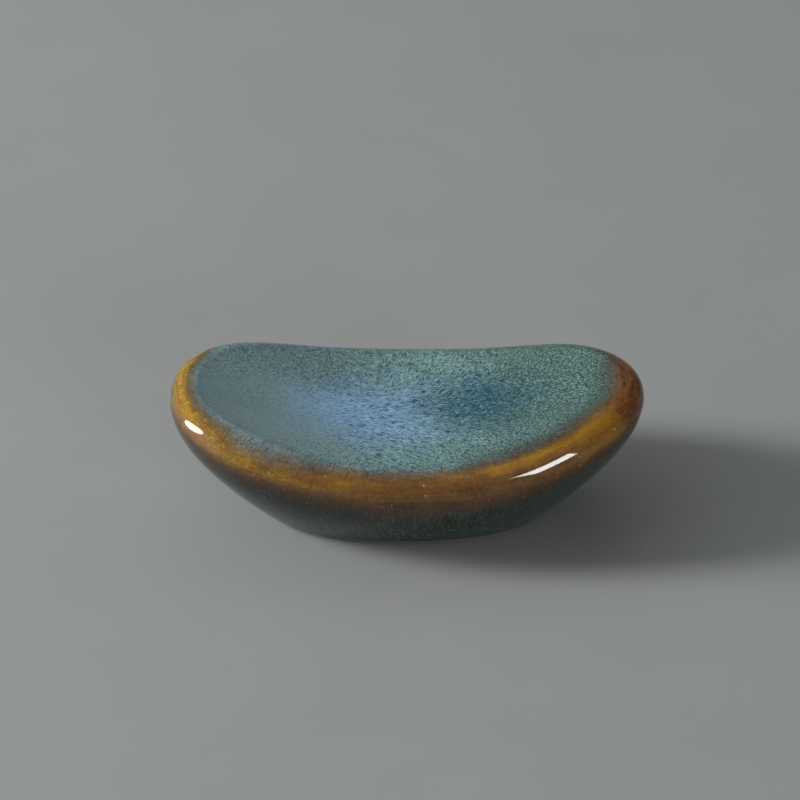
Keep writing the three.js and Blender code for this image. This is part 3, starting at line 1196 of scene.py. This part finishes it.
@dataclass(frozen=True)
class WellColour:
    """Colour of the blue-green glaze: teal, blue in the pool, deep beside it, green at the right."""

    teal: str = "5d8486"
    pale_teal: str = "7aa09f"
    mottling: float = 2.2
    mottles_per_mm: float = 0.4
    drifts_per_mm: float = 0.16

    # Green towards the right, smoky towards the left (partly glaze tint, partly painted sheen of a
    # reflected veil), and pale along the front left
    green: Tint = Tint("425f54", 0.9)
    green_right: Span = (3.0, 16.0)
    green_drift: float = 14.0
    smoke: Tint = Tint("86a2a8", 0.8)
    smoke_sheen_left: Span = (3.0, 17.0)
    smoke_sheen_drift: float = 12.0
    pale: Tint = Tint("a9c2c2", 0.2)
    pale_front: Span = (1.0, 7.0)
    pale_right: Span = (-7.0, 1.0)

    pool: Patch = Patch(
        x=-4.4, y=-0.2, half_length=14.5, half_width=10.4,
        edge=(0.15, 1.15), mottled=0.5, tint=Tint("88b3dd", 0.95),
    )
    deep: Patch = Patch(
        x=9.6, y=1.9, half_length=10.5, half_width=7.8,
        edge=(0.25, 1.2), mottled=0.6, tint=Tint("1a576b", 0.95),
    )
    shade: Patch = Patch(
        x=-12.5, y=10.0, half_length=12.5, half_width=7.2,
        edge=(0.2, 1.2), mottled=0.6, tint=Tint("28586a", 0.24),
    )

    # Dark and light flecks, few of them in the smoky part but for its back, where the painted sheen washes
    # them out
    flecks_per_mm: float = 6.6
    fleck_length: float = 0.56
    grains_per_mm: float = 6.0
    grain_sway: float = 0.15
    sheen_calm: float = 0.6
    sheen_lively: float = 0.7
    smoke_back: Span = (2.0, 9.0)
    dark: Tint = Tint("12323a", 0.84)
    dark_edge: Span = (0.0, 0.045)
    light: Tint = Tint("accac6")
    light_edge: Span = (0.0, 0.06)
    light_share: float = 0.52
    light_less: float = 0.12
    # Pale dots in the well: partly glaze specks, partly painted glints off pinholes
    speck_and_glint_tint: Tint = Tint("b9cdc6", 0.5)
    specks_per_mm: float = 0.8
    speck_radius: float = 0.1
    speck_share: float = 0.2

    def write(self, place_group: Tree, flecks_group: Tree, specks_group: Tree) -> Tree:
        """Writes the group.

        Args:
            place_group: The group that gives a point's place.
            flecks_group: The group that gives the flecks.
            specks_group: The group that gives the specks.

        Returns:
            The group.
        """
        t = Tree.group("glaze_well", TreeKind.SHADER, {}, {"Color": Port.COLOUR})
        place = t.use(place_group)["Place"]
        x, y, _ = t.parts(place)
        mottle = t.sway(place, self.mottles_per_mm, detail=4.0, roughness=0.6)
        drift = t.sway(place, self.drifts_per_mm)
        grain = t.sway(place, self.grains_per_mm, detail=1.0)
        strokes = {"Per Mm": self.flecks_per_mm, "Length": self.fleck_length}
        fleck = t.use(flecks_group, strokes)["Fleck"]

        colour = t.blend(t.unit(0.5 + mottle * self.mottling), srgb(self.teal), srgb(self.pale_teal))
        right = t.rise(x + drift * self.green_drift, *self.green_right)
        colour = self.green.over(t, colour, right)
        # Smoky grey-blue on the left of the dish: partly the glaze's tint, partly painted sheen of a
        # reflected veil
        smoke = t.rise(-x + drift * self.smoke_sheen_drift, *self.smoke_sheen_left)
        colour = self.smoke.over(t, colour, smoke)
        front = t.rise(-y, *self.pale_front) * (1.0 - t.rise(x, *self.pale_right))
        colour = self.pale.over(t, colour, front)
        sunk = self.deep.mask(t, x, y, drift, mottle)
        colour = self.pool.tint.over(t, colour, self.pool.mask(t, x, y, drift, mottle))
        colour = self.deep.tint.over(t, colour, sunk)
        colour = self.shade.tint.over(t, colour, self.shade.mask(t, x, y, drift, mottle))

        # The painted sheen calms the flecks, less so at the back
        calm = smoke * (1.0 - self.sheen_lively * t.rise(y, *self.smoke_back))
        lively = 1.0 - self.sheen_calm * calm
        dark = t.rise(-fleck - grain * self.grain_sway, *self.dark_edge)
        colour = self.dark.over(t, colour, dark * lively)
        light = t.rise(fleck + grain * self.grain_sway, *self.light_edge)
        light = light * (self.light_share - self.light_less * (right + sunk))
        colour = self.light.over(t, colour, light * lively)
        dots = {"Per Mm": self.specks_per_mm, "Radius": self.speck_radius, "Share": self.speck_share}
        t.give({"Color": self.speck_and_glint_tint.over(t, colour, t.use(specks_group, dots)["Speck"])})
        return t


@dataclass(frozen=True)
class FlankColour:
    """Colour of the dark green glaze: nearly black under the band, streaked, teal where it gathers low,
    with painted light to the right.
    """

    black: str = "0f160f"
    grey_green: str = "3a443b"
    tone: float = 0.4
    tone_mottle: float = 1.8
    tone_hair: float = 3.0
    tone_tuft: float = 0.8
    # Painted light: the flank's tone grows lighter towards the right, where the fill light falls
    tone_along: float = 0.04
    mottles_per_mm: float = 0.4
    grains_per_mm: float = 4.2
    warm: Tint = Tint("4e3520", 0.8)
    warm_down: Span = (6.5, 10.0)
    warm_hair: float = 5.0
    foot: Tint = Tint("2c4744", 0.75)
    foot_up: Span = (1.0, 7.5)
    foot_mottle: float = 6.0
    light: Tint = Tint("839f97")
    light_hair: float = 0.6
    light_share: float = 0.22
    light_foot: float = 0.45
    dark: Tint = Tint("141a18", 0.5)
    grain_edge: Span = (0.05, 0.2)

    def write(self, place_group: Tree, streaks_group: Tree) -> Tree:
        """Writes the group.

        Args:
            place_group: The group that gives a point's place.
            streaks_group: The group that gives the runs.

        Returns:
            The group.
        """
        t = Tree.group("glaze_flank", TreeKind.SHADER, {}, {"Color": Port.COLOUR})
        place = t.use(place_group)
        streaks = t.use(streaks_group)
        hair = streaks["Hair"]
        x, _, z = t.parts(place["Place"])
        mottle = t.sway(place["Place"], self.mottles_per_mm, detail=4.0, roughness=0.6)
        grain = t.sway(place["Place"], self.grains_per_mm, roughness=0.6)
        tone = self.tone + mottle * self.tone_mottle + hair * self.tone_hair
        # Painted light: lighter towards the right
        tone = tone + streaks["Tuft"] * self.tone_tuft + x * self.tone_along
        colour = t.blend(t.unit(tone), srgb(self.black), srgb(self.grey_green))
        warm = 1.0 - t.rise(place["Across"] + hair * self.warm_hair, *self.warm_down)
        colour = self.warm.over(t, colour, warm)
        foot = 1.0 - t.rise(z + mottle * self.foot_mottle, *self.foot_up)
        colour = self.foot.over(t, colour, foot)
        light = t.rise(grain + hair * self.light_hair, *self.grain_edge)
        colour = self.light.over(t, colour, light * (self.light_share + self.light_foot * foot))
        t.give({"Color": self.dark.over(t, colour, t.rise(-grain, *self.grain_edge))})
        return t


class Glaze:
    """The glazes' shader groups, each written once and placed in every material that shows it."""

    def __init__(self) -> None:
        """Writes the groups."""
        well = WellColour()
        place = GlazePlace().write()
        streaks = Streaks().write(place)
        specks = Specks().write(place)
        flecks = Flecks().write(place, well.pool)
        self.borders = Borders().write(place, streaks)
        self.amber = AmberColour().write(place, streaks, specks)
        self.well = well.write(place, flecks, specks)
        self.flank = FlankColour().write(place, streaks)


@dataclass(frozen=True)
class GlazeFinish:
    """A glossy coat's surface: how rough it is and how much it dimples."""

    roughness: float
    roughness_sway: float = 0.04
    ior: float = 1.52
    dimple: float = 0.004 * MM
    dimple_strength: float = 0.25
    dimples_per_metre: float = 900.0

    def shader(self, t: Tree, colour: Field) -> None:
        """Ends a material's tree in a glossy surface.

        Args:
            t: The material's tree.
            colour: The colour of the glaze.
        """
        peel = t.noise(t.place(), self.dimples_per_metre)
        bumps = {"Strength": self.dimple_strength, "Distance": self.dimple, "Height": peel}
        normal = t.out(t.node("ShaderNodeBump", bumps))
        roughness = self.roughness + (peel - NOISE_MEAN) * self.roughness_sway
        t.surface({"Base Color": colour, "Roughness": roughness, "IOR": self.ior, "Normal": normal})


def new_material(name: str) -> Tuple[bpy.types.Material, Tree]:
    """Starts an empty node material.

    Args:
        name: The material's name.

    Returns:
        The material and its tree.
    """
    made = bpy.data.materials.new(name)
    made.use_nodes = True
    made.node_tree.nodes.clear()
    return made, Tree(made.node_tree)


@dataclass(frozen=True)
class CoatFinish:
    """The finish of one coat: the amber, and the upper glazes that run over it there."""

    name: str
    surface: GlazeFinish
    well: bool
    flank: bool
    fringe: Tint = Tint("332d1d", 0.6)

    def make(self, glaze: Glaze) -> bpy.types.Material:
        """Writes the material.

        Args:
            glaze: The shared groups.

        Returns:
            The material.
        """
        material, t = new_material(self.name)
        borders = t.use(glaze.borders)
        colour = t.use(glaze.amber)["Color"]
        if self.well:
            colour = t.blend(borders["Well Cover"], colour, t.use(glaze.well)["Color"])
            # The fringe's dark tint also lays the painted rim shade
            colour = self.fringe.over(t, colour, borders["Fringe"])
        if self.flank:
            colour = t.blend(borders["Flank Cover"], colour, t.use(glaze.flank)["Color"])
        self.surface.shader(t, colour)
        return material


class Finish(Enum):
    """The three glaze finishes. The well's is satin, the others are glossy."""

    AMBER = CoatFinish("amber_glaze_fired", GlazeFinish(roughness=0.06), well=True, flank=True)
    WELL = CoatFinish("blue_green_glaze_fired", GlazeFinish(roughness=0.3), well=True, flank=False)
    FLANK = CoatFinish("dark_green_glaze_fired", GlazeFinish(roughness=0.08), well=False, flank=True)


@dataclass(frozen=True)
class ClayFinish:
    """Bare fired stoneware: buff, grainy, with iron specks."""

    buff: str = "8f7d66"
    pale_buff: str = "b39f84"
    clouds_per_mm: float = 0.25
    grains_per_mm: float = 5.0
    iron: Tint = Tint("5b4632", 0.6)
    iron_edge: Span = (0.62, 0.7)
    roughness: float = 0.8
    roughness_sway: float = 0.3
    pit: float = 0.05 * MM
    pit_strength: float = 0.6

    def make(self) -> bpy.types.Material:
        """Writes the material.

        Returns:
            The material.
        """
        material, t = new_material("bare_stoneware_fired")
        cloud = t.noise(t.place_mm(), self.clouds_per_mm, detail=3.0)
        grain = t.noise(t.place_mm(), self.grains_per_mm, detail=3.0, roughness=0.7)
        colour = t.blend(cloud, srgb(self.buff), srgb(self.pale_buff))
        colour = self.iron.over(t, colour, t.rise(grain, *self.iron_edge))
        pits = {"Strength": self.pit_strength, "Distance": self.pit, "Height": grain}
        normal = t.out(t.node("ShaderNodeBump", pits))
        roughness = self.roughness + (grain - NOISE_MEAN) * self.roughness_sway
        t.surface({"Base Color": colour, "Roughness": roughness, "Normal": normal})
        return material


class Coat(Enum):
    """The coats of glaze, by the CAD node that each stands for."""

    BASE = "amber_base_glaze"
    WELL = "well_overglaze"
    FLANK = "flank_overglaze"


@dataclass
class GlazeCoat:
    """One coat of glaze: a closed shell that runs out along its outer face and back along its inner one."""

    skin: Skin
    coat: Coat
    slot: str
    material: bpy.types.Material
    rings: int
    turns: int = Skin.TURNS
    base_coat: float = Skin.BASE_COAT

    def tree(self) -> Tree:
        """Writes the coat's geometry tree.

        Returns:
            The tree.
        """
        inputs = {
            "Rings": Port.COUNT,
            "Turns": Port.COUNT,
            "Base Coat": Port.VALUE,
            "Material": Port.MATERIAL,
        }
        t = Tree.group(self.coat.value, TreeKind.GEOMETRY, inputs, {"Geometry": Port.GEOMETRY})
        rings = t.given["Rings"]
        mesh, row, turn = Mesher.grid(t, rings * 2.0, t.given["Turns"] + 1.0)
        edges = t.use(self.skin.rule, {"Profile": 0.0, "Turn": turn})
        inner = t.math("GREATER_THAN", row, 0.5)
        share = t.least(row, 1.0 - row) * ((rings * 2.0 - 1.0) / (rings - 1.0))
        if self.coat is Coat.WELL:
            profile = edges["Well Edge"] * share
        elif self.coat is Coat.FLANK:
            profile = edges["Flank Edge"] + (Skin.GLAZE_LINE - edges["Flank Edge"]) * share
        else:
            profile = share * Skin.GLAZE_LINE
        if self.coat is Coat.BASE:
            sink = {"Depth": inner * t.given["Base Coat"], "Coat Share": 1.0}
        else:
            sink = {"Depth": 0.0, "Coat Share": inner}
        at = t.use(self.skin.sunk, {"Profile": profile, "Turn": turn, **sink})
        t.give({"Geometry": Mesher.finish(t, mesh, at["Point"], at, t.given["Material"])})
        return t

    def build(self) -> bpy.types.Object:
        """Makes the coat and puts it in place of its CAD node.

        Returns:
            The coat.
        """
        values = {
            "Rings": self.rings,
            "Turns": self.turns,
            "Base Coat": self.base_coat,
            "Material": self.material,
        }
        made = Mesher.plain(self.coat.value + "_coat", self.tree(), values)
        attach(made, "root")
        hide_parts(self.coat.value)
        return made


@dataclass
class StonewareBody:
    """The fired clay: the skin under both coats, and the bare foot with its recess."""

    skin: Skin
    material: bpy.types.Material
    foot: FootShape = field(default_factory=FootShape)
    rings: int = 70
    foot_rings: int = 40
    turns: int = Skin.TURNS
    base_coat: float = Skin.BASE_COAT

    # Shares of the foot's rows at which its wall, chamfer, ring and cove end
    WALL_END = 0.2
    CHAMFER_END = 0.3
    RING_END = 0.5
    COVE_END = 0.8

    def tree(self) -> Tree:
        """Writes the body's geometry tree.

        Returns:
            The tree.
        """
        sizes = {label_of(item.name): getattr(self.foot, item.name) for item in fields(self.foot)}
        inputs = {
            "Rings": Port.COUNT,
            "Foot Rings": Port.COUNT,
            "Turns": Port.COUNT,
            "Base Coat": Port.VALUE,
            "Material": Port.MATERIAL,
            **{label: Port.VALUE for label in sizes},
        }
        t = Tree.group("stoneware_body", TreeKind.GEOMETRY, inputs, {"Geometry": Port.GEOMETRY})
        for label, value in sizes.items():
            t.default(label, value)
        g = t.given
        rows = g["Rings"] + g["Foot Rings"]
        mesh, row, turn = Mesher.grid(t, rows, g["Turns"] + 1.0)
        count = row * (rows - 1.0)
        profile = t.unit(count / (g["Rings"] - 1.0)) * Skin.GLAZE_LINE
        sink = {"Depth": g["Base Coat"], "Coat Share": 1.0}
        at = t.use(self.skin.sunk, {"Profile": profile, "Turn": turn, **sink})
        down = t.unit((count - (g["Rings"] - 1.0)) / g["Foot Rings"])
        t.give({"Geometry": Mesher.finish(t, mesh, self.foot_point(t, at, down), at, g["Material"])})
        return t

    def foot_point(self, t: Tree, edge: Dict[str, Field], down: Field) -> Field:
        """A point of the foot.

        Args:
            t: The tree.
            edge: The clay's point and normal, at the glaze line for the foot's rows.
            down: How far down the foot's rows the point is, from 0 to 1.

        Returns:
            The point, which is the clay's own where down is 0.
        """
        g = t.given

        def stretch(start: float, end: float) -> Field:
            """How much of a stretch of the rows is behind a point."""
            return t.unit((down - start) / (end - start))

        wall = stretch(0.0, self.WALL_END)
        chamfer = stretch(self.WALL_END, self.CHAMFER_END)
        ring = stretch(self.CHAMFER_END, self.RING_END)
        cove = stretch(self.RING_END, self.COVE_END) * (math.pi / 2)
        middle = stretch(self.COVE_END, 1.0)
        inset = g["Step"] * wall + g["Chamfer"] * chamfer + g["Ring Width"] * ring
        inset = inset + g["Cove"] * (1.0 - t.cos(cove))
        x, y, z = t.parts(edge["Point"])
        normal_x, normal_y, _ = t.parts(edge["Normal"])
        out = t.vmath("NORMALIZE", t.vector(normal_x, normal_y, 0.0))
        out_x, out_y, _ = t.parts(out)
        foot_x = (x - out_x * inset) * (1.0 - middle)
        foot_y = (y - out_y * inset) * (1.0 - middle)
        foot_z = z + (g["Chamfer"] - z) * wall - g["Chamfer"] * chamfer + g["Recess"] * t.sin(cove)
        on_foot = t.math("GREATER_THAN", down, 0.0)
        return t.vector(x + (foot_x - x) * on_foot, y + (foot_y - y) * on_foot, foot_z)

    def build(self) -> bpy.types.Object:
        """Makes the body and puts it in place of its CAD node.

        Returns:
            The body.
        """
        values = {
            "Rings": self.rings,
            "Foot Rings": self.foot_rings,
            "Turns": self.turns,
            "Base Coat": self.base_coat,
            "Material": self.material,
        }
        made = Mesher.plain("stoneware_clay", self.tree(), values)
        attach(made, "root")
        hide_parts("stoneware_body")
        return made


def direction(azimuth: float, elevation: float) -> Vector:
    """The direction of a place seen from the rest.

    Args:
        azimuth: Degrees round the rest, 0 behind it and 90 to its right.
        elevation: Degrees above the floor.

    Returns:
        The direction, of length 1.
    """
    a = math.radians(azimuth)
    e = math.radians(elevation)
    return Vector((math.sin(a) * math.cos(e), math.cos(a) * math.cos(e), math.sin(e)))


class LampUse(Enum):
    """What a lamp is for: lighting surfaces, or showing as a highlight in the glossy coats."""

    LIGHT = "light"
    GLINT = "glint"


@dataclass(frozen=True)
class SoftBox:
    """A lamp: where it stands as seen from the rest, how large it is and how bright.

    Angles are in degrees, and lengths in metres.
    """

    name: str
    use: LampUse
    azimuth: float
    elevation: float
    distance: float
    width: float
    height: float
    radiance: float
    roll: float = 0.0
    oval: bool = False

    def build(self, target: Vector, glossy: bpy.types.Collection) -> None:
        """Puts the lamp in the scene.

        Args:
            target: The point that it faces.
            glossy: The pieces that show a glint lamp in their gloss.
        """
        away = direction(self.azimuth, self.elevation)
        data = bpy.data.lights.new(self.name, "AREA")
        data.shape = "ELLIPSE" if self.oval else "RECTANGLE"
        data.size = self.width
        data.size_y = self.height
        area = self.width * self.height * (math.pi / 4 if self.oval else 1.0)
        data.energy = self.radiance * math.pi * area
        lamp = bpy.data.objects.new(self.name, data)
        lamp.location = target + away * self.distance
        lamp.rotation_mode = "QUATERNION"
        turned = Quaternion((0.0, 0.0, 1.0), math.radians(self.roll))
        lamp.rotation_quaternion = away.to_track_quat("Z", "Y") @ turned
        lamp.visible_diffuse = self.use is LampUse.LIGHT
        lamp.visible_glossy = self.use is LampUse.GLINT
        if self.use is LampUse.GLINT:
            lamp.light_linking.receiver_collection = glossy
        bpy.context.scene.collection.objects.link(lamp)


@dataclass(frozen=True)
class Glow:
    """A soft patch of light in the surround: where it is, how far it reaches and its colour."""

    azimuth: float
    elevation: float
    reach: float
    colour: Colour

    def add(self, t: Tree, towards: Field, strength: Field, colour: Union[Field, Colour]) -> Field:
        """Lays the patch over the surround.

        Args:
            t: The world's tree.
            towards: The direction looked in.
            strength: How much of the patch shows.
            colour: The surround so far.

        Returns:
            The surround with the patch.
        """
        centre = direction(self.azimuth, self.elevation)
        x, y, z = t.parts(towards)
        facing = x * centre.x + y * centre.y + z * centre.z
        share = t.rise(facing, math.cos(math.radians(self.reach)), 1.0)
        return t.blend(share * strength, colour, self.colour)


@dataclass
class Studio:
    """Plain floor, soft light and the camera at the photograph's angle."""

    glossy_pieces: Sequence[bpy.types.Object]
    target: Vector = field(default_factory=lambda: Vector((0.0, 0.0, 8 * MM)))
    camera_distance: float = 650 * MM
    camera_elevation: float = math.radians(35)
    image_side: float = 800.0
    pixels_per_mm: float = 7.23
    target_pixel: Tuple[float, float] = (407.2, 451.2)
    sensor: float = 36.0
    floor_half: float = 3.0
    floor_grey: str = "989b99"
    floor_pale_grey: str = "a0a3a2"
    floor_clouds_per_mm: float = 0.03
    floor_roughness: float = 0.9
    floor_specular: float = 0.1
    surround: Colour = (0.125, 0.127, 0.129, 1.0)
    glow_in_gloss: float = 0.4
    glows: Sequence[Glow] = (
        Glow(azimuth=-75.0, elevation=28.0, reach=72.0, colour=(0.6, 0.61, 0.62, 1.0)),
        Glow(azimuth=8.0, elevation=56.0, reach=24.0, colour=(0.7, 0.72, 0.73, 1.0)),
    )
    lamps: Sequence[SoftBox] = (
        SoftBox(
            "key_left", LampUse.LIGHT, azimuth=-89.0, elevation=24.0, distance=0.9,
            width=0.2, height=0.38, radiance=38.0,
        ),
        SoftBox(
            "key_left_glint", LampUse.GLINT, azimuth=-92.0, elevation=25.0, distance=0.9,
            width=0.42, height=0.63, radiance=17.0, roll=-18.0, oval=True,
        ),
        SoftBox(
            "fill_right", LampUse.LIGHT, azimuth=148.0, elevation=13.0, distance=0.9,
            width=0.37, height=0.3, radiance=5.4,
        ),
        SoftBox(
            "fill_right_glint", LampUse.GLINT, azimuth=153.0, elevation=15.0, distance=0.9,
            width=0.29, height=0.46, radiance=17.0, roll=22.0,
        ),
    )

    def build(self) -> None:
        """Sets up the stage."""
        self.build_floor()
        self.build_world()
        glossy = bpy.data.collections.new("glossy_pieces")
        for piece in self.glossy_pieces:
            glossy.objects.link(piece)
        for lamp in self.lamps:
            lamp.build(self.target, glossy)
        self.build_camera()

    def build_floor(self) -> None:
        """A pale plain floor under the rest."""
        side = self.floor_half
        mesh = bpy.data.meshes.new("floor")
        corners = [(-side, -side, 0.0), (side, -side, 0.0), (side, side, 0.0), (-side, side, 0.0)]
        mesh.from_pydata(corners, [], [(0, 1, 2, 3)])
        material, t = new_material("pale_floor")
        cloud = t.noise(t.place_mm(), self.floor_clouds_per_mm, detail=4.0, roughness=0.6)
        colour = t.blend(cloud, srgb(self.floor_grey), srgb(self.floor_pale_grey))
        gloss = {"Roughness": self.floor_roughness, "Specular IOR Level": self.floor_specular}
        t.surface({"Base Color": colour, **gloss})
        mesh.materials.append(material)
        floor = bpy.data.objects.new("floor", mesh)
        bpy.context.scene.collection.objects.link(floor)

    def build_world(self) -> None:
        """A dim grey surround with its soft glows."""
        world = bpy.data.worlds.new("studio")
        world.use_nodes = True
        t = Tree(world.node_tree)
        background = world.node_tree.nodes["Background"]
        towards = t.out(t.node("ShaderNodeTexCoord"), "Generated")
        glossy = t.out(t.node("ShaderNodeLightPath"), "Is Glossy Ray")
        strength = 1.0 - glossy * (1.0 - self.glow_in_gloss)
        colour: Union[Field, Colour] = self.surround
        for glow in self.glows:
            colour = glow.add(t, towards, strength, colour)
        t.plug(background.inputs["Color"], colour)
        bpy.context.scene.world = world

    def build_camera(self) -> None:
        """The camera, aimed so that the target falls on its pixel of the photograph."""
        e = self.camera_elevation
        back = Vector((0.0, -math.cos(e), math.sin(e)))
        up = Vector((0.0, math.sin(e), math.cos(e)))
        right = Vector((1.0, 0.0, 0.0))
        per_pixel = MM / self.pixels_per_mm
        off_x = (self.target_pixel[0] - self.image_side / 2) * per_pixel
        off_y = (self.target_pixel[1] - self.image_side / 2) * per_pixel
        aim = self.target - right * off_x + up * off_y
        data = bpy.data.cameras.new("camera")
        data.sensor_width = self.sensor
        field_width = self.image_side * per_pixel
        data.lens = self.sensor * self.camera_distance / field_width
        camera = bpy.data.objects.new("camera", data)
        camera.location = self.target + back * self.camera_distance
        camera.rotation_mode = "QUATERNION"
        camera.rotation_quaternion = (camera.location - aim).to_track_quat("Z", "Y")
        bpy.context.scene.collection.objects.link(camera)
        bpy.context.scene.camera = camera


def main() -> None:
    """Builds the rest and its studio, and reports each piece."""
    logging.basicConfig(level=logging.INFO, format="%(name)s: %(message)s")
    bpy.context.scene.view_settings.view_transform = "Standard"
    shape = RestShape.from_frame()
    skin = Skin(shape)
    glaze = Glaze()
    coats: List[GlazeCoat] = [
        GlazeCoat(skin, Coat.BASE, "amber_glaze", Finish.AMBER.value.make(glaze), rings=110),
        GlazeCoat(skin, Coat.WELL, "blue_green_glaze", Finish.WELL.value.make(glaze), rings=60),
        GlazeCoat(skin, Coat.FLANK, "dark_green_glaze", Finish.FLANK.value.make(glaze), rings=40),
    ]
    body = StonewareBody(skin, ClayFinish().make()).build()
    base, well, flank = [coat.build() for coat in coats]
    for piece in (body, base, well, flank):
        LOG.info("%s: %d faces", piece.name, len(piece.data.polygons))
    Studio(glossy_pieces=(base, flank)).build()


if __name__ == "__main__":
    main()
